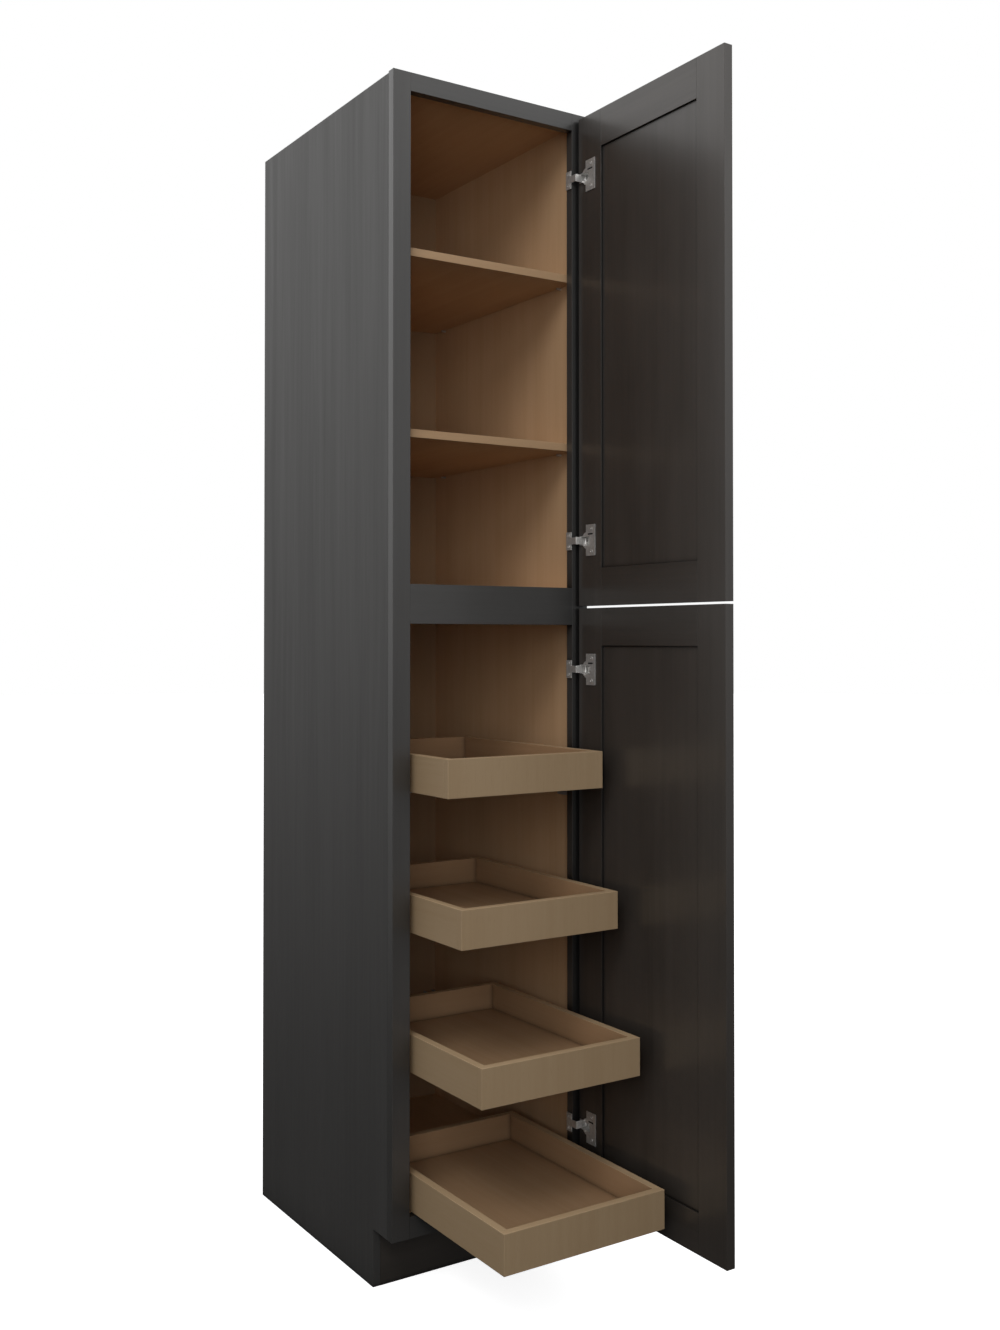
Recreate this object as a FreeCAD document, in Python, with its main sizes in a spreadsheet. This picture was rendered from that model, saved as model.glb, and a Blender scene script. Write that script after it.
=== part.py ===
import FreeCAD, Part

"""Tall pantry cabinet with a face frame, two doors on one-pin hinges, two shelves and four roll-out trays.

Own frame, millimetres: +X is to the right, +Y to the back, +Z up. The origin lies on the floor, midway
between the sides and midway between the back and the leading edge of the open doors. The doors stand
open at a right angle and each tray is pulled out by its own amount.
"""

import os
import re

import Sketcher

DOCUMENT = FreeCAD.newDocument("pantry_cabinet")
SHEET = DOCUMENT.addObject("Spreadsheet::Sheet", "Dimensions")

DIMENSIONS = {
    # carcass
    "cabinet_width": 457.2,
    "cabinet_depth": 609.6,
    "cabinet_height": 2336.8,
    "side_thickness": 15.9,
    "back_thickness": 12.7,
    "deck_thickness": 15.9,
    "top_thickness": 12.7,
    "side_top_drop": 3.2,
    "toe_height": 111.1,
    "toe_recess": 76.2,
    "toe_thickness": 12.7,
    # face frame
    "frame_thickness": 19.05,
    "stile_width": 38.1,
    "top_rail_height": 36.0,
    "middle_rail_low": 1277.9,
    "middle_rail_high": 1354.1,
    "bottom_rail_high": 152.4,
    # adjustable shelves
    "shelf_thickness": 15.9,
    "shelf_side_play": 1.0,
    "shelf_setback": 8.0,
    "lower_shelf_low": 1639.8,
    "upper_shelf_low": 1992.0,
    "shelf_pin_radius": 2.5,
    "shelf_pin_seat": 8.0,
    "shelf_pin_reach": 10.0,
    "shelf_pin_inset": 45.0,
    # doors
    "door_width": 444.5,
    "door_thickness": 19.05,
    "door_side_reveal": 6.35,
    "door_gap": 3.0,
    "open_edge_gap": 6.0,
    "upper_door_low": 1316.7,
    "upper_door_high": 2324.1,
    "lower_door_low": 123.8,
    "lower_door_high": 1312.0,
    "door_rail": 76.2,
    "door_panel_thickness": 6.35,
    "door_panel_back_step": 4.2,
    "door_groove": 9.5,
    "door_panel_bite": 8.0,
    # hinges
    "pin_from_edge": 8.0,
    "pin_radius": 1.25,
    "pin_play": 0.06,
    "eye_radius": 2.5,
    "arm_thickness": 2.5,
    "arm_half_height": 7.0,
    "cup_centre": 30.0,
    "cup_radius": 17.5,
    "cup_wall": 1.0,
    "cup_hollow": 13.9,
    "cup_floor": 0.8,
    "bore_play": 0.1,
    "knuckle_start": 4.0,
    "knuckle_half_height": 9.5,
    "slot_end": 37.0,
    "slot_half_height": 8.0,
    "flange_start": 26.0,
    "flange_end": 56.0,
    "flange_half_height": 32.0,
    "flange_thickness": 1.5,
    "mount_plate_half_height": 18.5,
    "mount_plate_front": 1.5,
    "mount_plate_back": 18.0,
    "hinge_from_top": 125.0,
    "hinge_from_bottom": 134.0,
    "screw_radius": 2.0,
    "screw_head_radius": 3.8,
    "screw_head": 0.8,
    "screw_length": 11.0,
    "flange_screw_centre": 44.0,
    "flange_screw_half_pitch": 23.0,
    "mount_screw_half_pitch": 11.5,
    # roll-out trays
    "tray_width": 355.6,
    "tray_depth": 514.4,
    "tray_height": 73.0,
    "tray_wall": 15.9,
    "tray_floor": 6.35,
    "tray_floor_lift": 14.0,
    "tray_floor_bite": 6.0,
    "tray_setback": 22.0,
    # runners under the trays
    "runner_length": 480.0,
    "runner_end_gap": 1.0,
    "runner_notch_play": 1.0,
    "runner_width": 24.0,
    "runner_wall": 1.5,
    "runner_inset": 18.4,
    "runner_lip": 9.5,
    "runner_under_tray": 1.6,
    "runner_leg_inset": 3.5,
    "runner_leg_play": 0.3,
    "bracket_thickness": 2.0,
    "bracket_width": 40.0,
    "bracket_drop": 30.0,
    "front_bracket_offset": 42.0,
    "rear_bracket_offset": 470.0,
}

# each tray's underside above the floor, how far it is pulled out, and the length of the channels that
# carry it; tray 1 is the top one, and the channels of tray 4 end short of the deck's rear half
TRAYS = {
    1: {"low": 954.0, "pull": 141.6, "channel": 480.0},
    2: {"low": 685.0, "pull": 190.0, "channel": 480.0},
    3: {"low": 418.0, "pull": 258.5, "channel": 480.0},
    4: {"low": 154.0, "pull": 330.5, "channel": 320.0},
}
for number, tray in TRAYS.items():
    DIMENSIONS[f"tray_{number}_low"] = tray["low"]
    DIMENSIONS[f"tray_{number}_pull"] = tray["pull"]
    DIMENSIONS[f"tray_{number}_channel"] = tray["channel"]

# places that follow from the driving dimensions
LEFT = "(-cabinet_width / 2)"
RIGHT = "(cabinet_width / 2)"
FRONT = "(-(cabinet_depth - open_edge_gap - door_width) / 2)"
BACK = f"({FRONT} + cabinet_depth)"
FRAME_BACK = f"({FRONT} + frame_thickness)"
SIDE_TOP = "(cabinet_height - side_top_drop)"
INNER_LEFT = f"({LEFT} + side_thickness)"
INNER_RIGHT = f"({RIGHT} - side_thickness)"
INNER_BACK = f"({BACK} - back_thickness)"
OPENING_LEFT = f"({LEFT} + stile_width)"
OPENING_RIGHT = f"({RIGHT} - stile_width)"
PIN_DEPTH = "(open_edge_gap + pin_from_edge - door_gap)"
PIN_X = f"({RIGHT} - door_side_reveal - pin_from_edge)"
PIN_Y = f"({FRONT} - open_edge_gap - pin_from_edge)"
DOOR_INNER_FACE = f"({PIN_X} - {PIN_DEPTH})"
DOOR_HINGE_EDGE = f"({FRONT} - open_edge_gap)"

SUBPARTS = []


def fill_sheet():
    """One row per driving dimension: its name, its value and the alias that the model reads."""
    for row, (name, value) in enumerate(DIMENSIONS.items(), start=1):
        SHEET.set(f"A{row}", name)
        SHEET.set(f"B{row}", str(value))
        SHEET.setAlias(f"B{row}", name)
    DOCUMENT.recompute()


def bound(text):
    """The same formula, with every dimension's name pointing at the sheet."""
    return re.sub(r"[a-z][a-z0-9_]+", lambda found: f"Dimensions.{found.group(0)}", text)


def new(kind, label):
    item = DOCUMENT.addObject(kind, label)
    item.Label = label
    return item


def keep(item):
    """Marks an object as a sub-part that gets a file of its own."""
    SUBPARTS.append(item)
    return item


def place(item, x, y, z):
    for axis, text in (("x", x), ("y", y), ("z", z)):
        item.setExpression(f"Placement.Base.{axis}", bound(text))
    return item


def box(label, x, y, z):
    """A board or block between a low and a high value on each axis."""
    item = new("Part::Box", label)
    for side, (low, high) in (("Length", x), ("Width", y), ("Height", z)):
        item.setExpression(side, bound(f"({high}) - ({low})"))
    return place(item, x[0], y[0], z[0])


TURNS = {
    "x": FreeCAD.Rotation(FreeCAD.Vector(0, 1, 0), 90),
    "z": FreeCAD.Rotation(),
}


def cylinder(label, radius, along, low, high, across):
    """A round bar along x or z, from low to high, on the axis through the two across values."""
    item = new("Part::Cylinder", label)
    item.setExpression("Radius", bound(radius))
    item.setExpression("Height", bound(f"({high}) - ({low})"))
    item.Placement = FreeCAD.Placement(FreeCAD.Vector(), TURNS[along])
    centre = {"x": (low, *across), "z": (*across, low)}[along]
    return place(item, *centre)


def fuse(label, *pieces):
    item = new("Part::MultiFuse", label)
    item.Shapes = list(pieces)
    return item


def cut(label, base, tool):
    item = new("Part::Cut", label)
    item.Base = base
    item.Tool = tool
    return item


def group(label, pieces):
    """Identical pieces in one node, each still a solid of its own."""
    item = new("Part::Compound", label)
    item.Links = list(pieces)
    return item


def outline_body(label, points, thickness):
    """A board sawn to an outline in the YZ plane and padded along +X; points are (y, z) formulas."""
    body = new("PartDesign::Body", label)
    plane = next(item for item in body.Origin.OriginFeatures if item.Role == "YZ_Plane")
    sketch = body.newObject("Sketcher::SketchObject", f"{label}_outline")
    sketch.AttachmentSupport = [(plane, "")]
    sketch.MapMode = "FlatFace"
    count = len(points)
    for index in range(count):
        here = FreeCAD.Vector(index + 1, index % 2 + 1, 0)
        there = FreeCAD.Vector(index + 2, (index + 1) % 2 + 1, 0)
        sketch.addGeometry(Part.LineSegment(here, there), False)
    for index in range(count):
        sketch.addConstraint(Sketcher.Constraint("Coincident", index, 2, (index + 1) % count, 1))
    for index, corner in enumerate(points):
        for kind, text in zip(("DistanceX", "DistanceY"), corner):
            datum = sketch.addConstraint(Sketcher.Constraint(kind, -1, 1, index, 1, 1.0))
            sketch.setExpression(f"Constraints[{datum}]", bound(text))
    pad = body.newObject("PartDesign::Pad", f"{label}_pad")
    pad.Profile = sketch
    pad.setExpression("Length", bound(thickness))
    return body


def make_carcass():
    depth = "(cabinet_depth - frame_thickness)"
    outline = [
        ("toe_recess - frame_thickness", "0"),
        (depth, "0"),
        (depth, SIDE_TOP),
        ("0", SIDE_TOP),
        ("0", "toe_height"),
        ("toe_recess - frame_thickness", "toe_height"),
    ]
    for side, start in (("left", LEFT), ("right", INNER_RIGHT)):
        panel = outline_body(f"{side}_side_panel", outline, "side_thickness")
        keep(place(panel, start, FRAME_BACK, "0"))
    across = (INNER_LEFT, INNER_RIGHT)
    keep(box("back_panel", across, (INNER_BACK, BACK), ("0", SIDE_TOP)))
    inside = (FRAME_BACK, INNER_BACK)
    keep(box("top_panel", across, inside, (f"{SIDE_TOP} - top_thickness", SIDE_TOP)))
    for label, top in (("middle_deck", "middle_rail_high"), ("bottom_deck", "bottom_rail_high")):
        keep(box(label, across, inside, (f"{top} - deck_thickness", top)))
    toe_front = f"{FRONT} + toe_recess"
    toe_top = "bottom_rail_high - deck_thickness"
    keep(box("toe_kick", across, (toe_front, f"{toe_front} + toe_thickness"), ("0", toe_top)))


def make_face_frame():
    deep = (FRONT, FRAME_BACK)
    tall = ("toe_height", "cabinet_height")
    keep(box("face_frame_left_stile", (LEFT, OPENING_LEFT), deep, tall))
    keep(box("face_frame_right_stile", (OPENING_RIGHT, RIGHT), deep, tall))
    rails = {
        "top": ("cabinet_height - top_rail_height", "cabinet_height"),
        "middle": ("middle_rail_low", "middle_rail_high"),
        "bottom": ("toe_height", "bottom_rail_high"),
    }
    for name, span in rails.items():
        keep(box(f"face_frame_{name}_rail", (OPENING_LEFT, OPENING_RIGHT), deep, span))


def make_shelves():
    across = (f"{INNER_LEFT} + shelf_side_play", f"{INNER_RIGHT} - shelf_side_play")
    deep = (f"{FRAME_BACK} + shelf_setback", f"{INNER_BACK} - shelf_side_play")
    pins = []
    for name in ("upper", "lower"):
        low = f"{name}_shelf_low"
        keep(box(f"{name}_shelf", across, deep, (low, f"{low} + shelf_thickness")))
        for end, y in (("front", f"{deep[0]} + shelf_pin_inset"), ("rear", f"{deep[1]} - shelf_pin_inset")):
            for side, wall, sign in (("left", INNER_LEFT, 1), ("right", INNER_RIGHT, -1)):
                ends = [f"{wall} - ({sign}) * shelf_pin_seat", f"{wall} + ({sign}) * shelf_pin_reach"]
                label = f"{name}_{end}_{side}_shelf_pin"
                centre = (y, f"{low} - shelf_pin_radius")
                pins.append(cylinder(label, "shelf_pin_radius", "x", *ends[::sign], centre))
    keep(group("shelf_pins", pins))


def along_door(distance):
    """The y place at a distance from the open door's hinge edge towards its leading edge."""
    return f"({DOOR_HINGE_EDGE} - ({distance}))"


def door_box(label, near, far, depth, z):
    """A block on an open door: near and far from the hinge edge, depth from the inner face."""
    x = (f"{DOOR_INNER_FACE} + ({depth[0]})", f"{DOOR_INNER_FACE} + ({depth[1]})")
    return box(label, x, (along_door(far), along_door(near)), z)


def cup_outline(label, grow, depth, z):
    """The round cup with its square knuckle, grown by a margin, between two depths under the door's face."""
    x = (f"{DOOR_INNER_FACE} + ({depth[0]})", f"{DOOR_INNER_FACE} + ({depth[1]})")
    centre = (along_door("cup_centre"), z)
    drum = cylinder(f"{label}_drum", f"cup_radius + ({grow})", "x", *x, centre)
    half = f"(knuckle_half_height + ({grow}))"
    start = f"knuckle_start - ({grow})"
    knuckle = door_box(f"{label}_knuckle", start, "cup_centre", depth, (f"{z} - {half}", f"{z} + {half}"))
    return fuse(label, drum, knuckle)


def make_door(name, hinges):
    low, high = f"{name}_door_low", f"{name}_door_high"
    full = ("0", "door_thickness")
    groove = ("door_panel_back_step", "door_panel_back_step + door_panel_thickness")
    stile_z = (low, high)
    ends = {"hinge": ("0", "door_rail"), "latch": ("door_width - door_rail", "door_width")}
    grooves = {
        "hinge": ("door_rail - door_groove", "door_rail"),
        "latch": ("door_width - door_rail", "door_width - door_rail + door_groove"),
    }
    for side, (near, far) in ends.items():
        label = f"{name}_door_{side}_stile"
        blank = door_box(f"{label}_blank", near, far, full, stile_z)
        tool = door_box(f"{label}_groove", *grooves[side], groove, stile_z)
        if side == "hinge":
            depth = ("-1", "cup_hollow + cup_floor + bore_play")
            bores = [cup_outline(f"{label}_{end}_bore", "bore_play", depth, z) for end, z in hinges.items()]
            tool = fuse(f"{label}_tools", tool, *bores)
        keep(cut(label, blank, tool))
    rails = {
        "top": ((f"{high} - door_rail", high), (f"{high} - door_rail", f"{high} - door_rail + door_groove")),
        "bottom": ((low, f"{low} + door_rail"), (f"{low} + door_rail - door_groove", f"{low} + door_rail")),
    }
    for side, (span, slot) in rails.items():
        label = f"{name}_door_{side}_rail"
        blank = door_box(f"{label}_blank", "door_rail", "door_width - door_rail", full, span)
        tongue_ends = ("door_rail - door_groove", "door_width - door_rail + door_groove")
        tongue = door_box(f"{label}_tongue", *tongue_ends, groove, span)
        body = fuse(f"{label}_body", blank, tongue)
        keep(cut(label, body, door_box(f"{label}_slot", *tongue_ends, groove, slot)))
    inset = "door_rail - door_panel_bite"
    panel_z = (f"{low} + {inset}", f"{high} - ({inset})")
    keep(door_box(f"{name}_door_panel", inset, f"door_width - ({inset})", groove, panel_z))


def make_hinge(name, z):
    """One compact hinge: the cup on the door, and the arm with its plate on the stile's inner edge."""
    cup = f"{name}_hinge_cup"
    shell = cup_outline(f"{cup}_shell", "0", ("-flange_thickness", "cup_hollow + cup_floor"), z)
    flange_z = (f"{z} - flange_half_height", f"{z} + flange_half_height")
    flange = door_box(f"{cup}_flange", "flange_start", "flange_end", ("-flange_thickness", "0"), flange_z)
    slot_z = (f"{z} - slot_half_height", f"{z} + slot_half_height")
    slot_depth = ("-2 * flange_thickness", "cup_hollow")
    slot = door_box(f"{cup}_slot", "knuckle_start + cup_wall", "slot_end", slot_depth, slot_z)
    pin_z = (f"{z} - knuckle_half_height", f"{z} + knuckle_half_height")
    pin_hole = cylinder(f"{cup}_pin_hole", "pin_radius", "z", *pin_z, (PIN_X, PIN_Y))
    tools = fuse(f"{cup}_tools", slot, pin_hole)
    keep(cut(cup, fuse(f"{cup}_body", shell, flange), tools))

    arm = f"{name}_hinge_arm"
    tall = (f"{z} - arm_half_height", f"{z} + arm_half_height")
    plate_x = (f"{OPENING_RIGHT} - arm_thickness", OPENING_RIGHT)
    reach_y = (f"{PIN_Y} - arm_thickness / 2", f"{PIN_Y} + arm_thickness / 2")
    reach = box(f"{arm}_reach", (plate_x[0], PIN_X), reach_y, tall)
    leg = box(f"{arm}_leg", plate_x, (reach_y[0], f"{FRONT} + mount_plate_front"), tall)
    plate_y = (f"{FRONT} + mount_plate_front", f"{FRONT} + mount_plate_back")
    plate_z = (f"{z} - mount_plate_half_height", f"{z} + mount_plate_half_height")
    plate = box(f"{arm}_plate", plate_x, plate_y, plate_z)
    eye = cylinder(f"{arm}_eye", "eye_radius", "z", *tall, (PIN_X, PIN_Y))
    bore = cylinder(f"{arm}_bore", "pin_radius + pin_play", "z", *tall, (PIN_X, PIN_Y))
    keep(cut(arm, fuse(f"{arm}_body", reach, leg, plate, eye), bore))


def screw(label, head_x, centre):
    """A flat-headed screw driven along +X: its head starts at head_x."""
    neck_x = f"{head_x} + screw_head"
    head = cylinder(f"{label}_head", "screw_head_radius", "x", head_x, neck_x, centre)
    shank = cylinder(f"{label}_shank", "screw_radius", "x", neck_x, f"{neck_x} + screw_length", centre)
    return fuse(label, head, shank)


def make_doors():
    mount_screws = []
    for name in ("upper", "lower"):
        hinges = {
            "top": f"({name}_door_high - hinge_from_top)",
            "bottom": f"({name}_door_low + hinge_from_bottom)",
        }
        make_door(name, hinges)
        pins = []
        flange_screws = []
        for place_name, z in hinges.items():
            hinge = f"{name}_door_{place_name}"
            make_hinge(hinge, z)
            half = "knuckle_half_height"
            pin_ends = (f"{z} - {half}", f"{z} + {half}")
            pins.append(cylinder(f"{hinge}_pin", "pin_radius", "z", *pin_ends, (PIN_X, PIN_Y)))
            head_x = f"{DOOR_INNER_FACE} - flange_thickness - screw_head"
            plate_y = f"{FRONT} + (mount_plate_front + mount_plate_back) / 2"
            plate_face = f"{OPENING_RIGHT} - arm_thickness - screw_head"
            for end, sign in (("low", "-"), ("high", "+")):
                centre = (along_door("flange_screw_centre"), f"{z} {sign} flange_screw_half_pitch")
                flange_screws.append(screw(f"{hinge}_{end}_flange_screw", head_x, centre))
                centre = (plate_y, f"{z} {sign} mount_screw_half_pitch")
                mount_screws.append(screw(f"{hinge}_{end}_mount_screw", plate_face, centre))
        keep(group(f"{name}_door_hinge_pins", pins))
        keep(group(f"{name}_door_hinge_screws", flange_screws))
    keep(group("hinge_mount_screws", mount_screws))


def runner_span(side, near, far):
    """The x span of a runner part, near and far from the outer face of the tray's side wall."""
    if side == "left":
        return (f"-tray_width / 2 + ({near})", f"-tray_width / 2 + ({far})")
    return (f"tray_width / 2 - ({far})", f"tray_width / 2 - ({near})")


def runner_notches(name, span, low):
    """The two cut-outs in a tray's back board, through which the fixed runners pass."""
    notches = []
    for side in ("left", "right"):
        near = "runner_inset - runner_notch_play"
        x = runner_span(side, near, "runner_inset + runner_width + runner_notch_play")
        z = (f"{low} - 1", f"{low} - runner_under_tray + runner_lip + runner_notch_play")
        notches.append(box(f"{name}_{side}_notch", x, span, z))
    return notches


def make_tray(number):
    low = f"tray_{number}_low"
    front = f"({FRONT} + tray_setback - tray_{number}_pull)"
    back = f"({front} + tray_depth)"
    across = ("-tray_width / 2", "tray_width / 2")
    tall = (low, f"{low} + tray_height")
    name = f"tray_{number}"
    inset = "(tray_wall - tray_floor_bite)"
    floor_z = (f"{low} + tray_floor_lift", f"{low} + tray_floor_lift + tray_floor")
    floor_x = (f"-tray_width / 2 + {inset}", f"tray_width / 2 - {inset}")
    floor_y = (f"{front} + {inset}", f"{back} - {inset}")
    wall_y = {"front": (front, f"{front} + tray_wall"), "back": (f"{back} - tray_wall", back)}
    for end, span in wall_y.items():
        blank = box(f"{name}_{end}_blank", across, span, tall)
        tool = box(f"{name}_{end}_groove", floor_x, floor_y, floor_z)
        if end == "back":
            tool = fuse(f"{name}_{end}_tools", tool, *runner_notches(name, span, low))
        keep(cut(f"{name}_{end}", blank, tool))
    sides = []
    runners = []
    for side in ("left", "right"):
        span = runner_span(side, "0", "tray_wall")
        blank = box(f"{name}_{side}_blank", span, (f"{front} + tray_wall", f"{back} - tray_wall"), tall)
        groove = box(f"{name}_{side}_groove", floor_x, floor_y, floor_z)
        sides.append(cut(f"{name}_{side}_side", blank, groove))
        runners.append(moving_runner(f"{name}_{side}_runner", side, low, front))
    keep(group(f"{name}_sides", sides))
    keep(box(f"{name}_bottom", floor_x, floor_y, floor_z))
    keep(group(f"{name}_runners", runners))


def moving_runner(label, side, low, front):
    """The runner member under the tray: a flat top with two legs that ride in the fixed channel."""
    start = f"{front} + tray_wall + runner_end_gap"
    y = (start, f"{start} + runner_length")
    top = f"{low} + tray_floor_lift"
    roof_x = runner_span(side, "runner_inset", "runner_inset + runner_width")
    roof = box(f"{label}_roof", roof_x, y, (f"{top} - runner_wall", top))
    foot = f"{low} - runner_under_tray + runner_wall + runner_leg_play"
    first = "runner_inset + runner_leg_inset"
    second = "runner_inset + runner_width - runner_leg_inset - runner_wall"
    legs = []
    for index, near in enumerate((first, second)):
        x = runner_span(side, near, f"{near} + runner_wall")
        legs.append(box(f"{label}_leg_{index}", x, y, (foot, f"{top} - runner_wall")))
    return fuse(label, roof, *legs)


def fixed_runner(label, side, low, length):
    """The open channel that carries a tray's runner."""
    start = f"{FRONT} + tray_setback + tray_wall + runner_end_gap"
    y = (start, f"{start} + {length}")
    bottom = f"({low} - runner_under_tray)"
    web_x = runner_span(side, "runner_inset", "runner_inset + runner_width")
    web = box(f"{label}_web", web_x, y, (bottom, f"{bottom} + runner_wall"))
    lips = []
    for index, near in enumerate(("runner_inset", "runner_inset + runner_width - runner_wall")):
        x = runner_span(side, near, f"{near} + runner_wall")
        lips.append(box(f"{label}_lip_{index}", x, y, (bottom, f"{bottom} + runner_lip")))
    return fuse(label, web, *lips)


def runner_bracket(label, side, low, offset):
    """An angle from the cabinet's side to under the tray: it carries one end of a fixed runner."""
    y = (f"{FRONT} + {offset}", f"{FRONT} + {offset} + bracket_width")
    top = f"({low} - runner_under_tray)"
    reach = "runner_inset + runner_width"
    wall_gap = "((cabinet_width - tray_width) / 2 - side_thickness)"
    shelf_x = runner_span(side, f"-{wall_gap}", reach)
    shelf = box(f"{label}_shelf", shelf_x, y, (f"{top} - bracket_thickness", top))
    wall_x = runner_span(side, f"-{wall_gap}", f"-{wall_gap} + bracket_thickness")
    wall = box(f"{label}_wall", wall_x, y, (f"{top} - bracket_drop", top))
    return fuse(label, shelf, wall)


def make_trays():
    channels = []
    brackets = []
    lowest = max(TRAYS)
    for number in TRAYS:
        make_tray(number)
        low = f"tray_{number}_low"
        for side in ("left", "right"):
            length = f"tray_{number}_channel"
            channels.append(fixed_runner(f"tray_{number}_{side}_channel", side, low, length))
            if number == lowest:
                continue
            for end in ("front", "rear"):
                label = f"tray_{number}_{side}_{end}_bracket"
                brackets.append(runner_bracket(label, side, low, f"{end}_bracket_offset"))
    keep(group("fixed_runners", channels))
    keep(group("runner_brackets", brackets))


def check_model():
    """Stops the build if any feature failed or any sub-part has no sound shape."""
    for item in DOCUMENT.Objects:
        if {"Invalid", "Error"} & set(item.State):
            raise RuntimeError(f"{item.Label} failed: {item.State}")
    for item in SUBPARTS:
        if item.Shape.isNull() or not item.Shape.isValid() or not item.Shape.Solids:
            raise RuntimeError(f"{item.Label} has no sound solid")


def write_parts():
    os.makedirs("parts", exist_ok=True)
    for item in SUBPARTS:
        item.Shape.exportStep(f"parts/{item.Label}.step")
    print(len(SUBPARTS), "sub-parts written")


fill_sheet()
make_carcass()
make_face_frame()
make_shelves()
make_doors()
make_trays()
DOCUMENT.recompute()
check_model()
write_parts()
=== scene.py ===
# %% [markdown]
# A tall pantry cabinet. The carcass is a box of boards with a solid frame on its front, two framed
# doors hang on concealed hinges, and four low trays roll out below the shelves. The design comes
# packed, with every board in its place. Boards could be modelled again here, but that would risk two
# sizes for one thing, so this lesson is about finish: eased edges, stain, maple and nickel, and the
# small fittings.

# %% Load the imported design
import math

import bpy
from mathutils import Euler, Matrix, Vector


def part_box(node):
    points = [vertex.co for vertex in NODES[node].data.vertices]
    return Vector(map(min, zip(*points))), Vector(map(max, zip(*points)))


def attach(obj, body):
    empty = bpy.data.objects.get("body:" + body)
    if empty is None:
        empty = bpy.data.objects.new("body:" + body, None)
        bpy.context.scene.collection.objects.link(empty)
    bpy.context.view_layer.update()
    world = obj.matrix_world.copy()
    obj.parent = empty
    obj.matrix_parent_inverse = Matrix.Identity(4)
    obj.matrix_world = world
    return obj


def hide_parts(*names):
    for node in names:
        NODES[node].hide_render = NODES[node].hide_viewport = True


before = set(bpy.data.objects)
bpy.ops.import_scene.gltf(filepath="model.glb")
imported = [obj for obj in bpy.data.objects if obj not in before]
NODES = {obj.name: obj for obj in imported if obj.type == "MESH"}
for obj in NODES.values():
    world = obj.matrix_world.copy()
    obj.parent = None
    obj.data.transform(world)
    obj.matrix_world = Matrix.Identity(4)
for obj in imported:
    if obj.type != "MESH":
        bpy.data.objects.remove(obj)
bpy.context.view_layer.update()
MM = 0.001

# %% [markdown]
# A camera for furniture stands a little above waist height and is kept level, so that upright edges
# stay upright. It could be aimed with a constraint, but fixed angles are simpler to read: a turn to the
# right, and a slight tilt up. The small shifts slide the picture in its frame without tilting the
# camera.

# %% Camera
CABINET_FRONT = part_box("face_frame_left_stile")[0].y
CABINET_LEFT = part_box("left_side_panel")[0].x
LEFT_OF_CABINET = 1.2503
AHEAD_OF_CABINET = 2.3082
EYE_HEIGHT = 1.2463
TILT_UP = math.radians(90.84)
TURN_RIGHT = math.radians(-33.19)

camera_data = bpy.data.cameras.new("camera")
camera = bpy.data.objects.new("camera", camera_data)
bpy.context.scene.collection.objects.link(camera)
camera.location = (CABINET_LEFT - LEFT_OF_CABINET, CABINET_FRONT - AHEAD_OF_CABINET, EYE_HEIGHT)
camera.rotation_euler = Euler((TILT_UP, 0.0, TURN_RIGHT))
camera_data.sensor_width = 36.0
camera_data.lens = 37.41
camera_data.shift_x = -0.0056
camera_data.shift_y = -0.0338
bpy.context.scene.camera = camera
print("camera at", [round(v, 3) for v in camera.location])

# %% [markdown]
# The floor of the studio is a wide pale disc. A lit floor would throw its light up at the toe kick,
# which stands in deep shade on a real cabinet. The floor could be held back with lamps that skip it,
# but it is simpler to make it glow faintly by itself and hide it from reflected and scattered rays. Its
# finish comes in the last cells.

# %% Studio floor
bpy.ops.object.select_all(action="DESELECT")
bpy.ops.mesh.primitive_circle_add(vertices=64, radius=30, fill_type="NGON")
floor = bpy.context.object
floor.name = "studio_floor"
floor.visible_diffuse = False
floor.visible_glossy = False
print(floor.name, "across", round(floor.dimensions.x), "m")

# %% [markdown]
# Soft lamps stand where a joiner would put windows: one high on the left shapes the side panel, one in
# front reaches into the bays, and one behind on the right draws a thin light edge. Small lamps would
# leave hard shadows, so each is a broad oblong of light turned towards the cabinet.


# %% Soft lamps
def soft_lamp(name, place, aim, size, power):
    """An oblong lamp of that width and height, in metres, turned towards a point."""
    data = bpy.data.lights.new(name, "AREA")
    data.shape = "RECTANGLE"
    data.size, data.size_y = size
    data.energy = power
    lamp = bpy.data.objects.new(name, data)
    lamp.location = place
    lamp.rotation_euler = (Vector(aim) - Vector(place)).to_track_quat("-Z", "Y").to_euler()
    bpy.context.scene.collection.objects.link(lamp)


soft_lamp("key_lamp", (-2.4, -1.9, 3.8), (-0.1, 0, 2.0), (1.6, 1.6), 34)
soft_lamp("front_lamp", (-1.95, -3.0, 1.85), (0, 0, 1.5), (1.2, 2.2), 26)
soft_lamp("rim_lamp", (3.5, 1.5, 3.2), (0.2, 0, 1.2), (2.0, 2.0), 30)

# %% [markdown]
# The surround is bright above and dim below. A satin finish mirrors it, which is what makes tall dark
# boards fade towards the floor. A sky picture could do this, but two plain ramps over the height are
# easier to set: a gentle one lights the wood, and a steep one is only seen in its sheen. The view
# behind the cabinet is plain white.


# %% Surround
def remap(tree, value, source=(0.0, 1.0), target=(0.0, 1.0)):
    """A value taken from one range to another, and kept inside."""
    node = tree.nodes.new("ShaderNodeMapRange")
    node.inputs["From Min"].default_value, node.inputs["From Max"].default_value = source
    node.inputs["To Min"].default_value, node.inputs["To Max"].default_value = target
    tree.links.new(value, node.inputs["Value"])
    return node.outputs["Result"]


WHITE = (1, 1, 1, 1)
world = bpy.data.worlds.new("surround")
bpy.context.scene.world = world
world.use_nodes = True
sky = world.node_tree
lighting = sky.nodes["Background"]
lighting.inputs["Color"].default_value = WHITE
behind = sky.nodes.new("ShaderNodeBackground")
behind.inputs["Color"].default_value = WHITE

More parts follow.
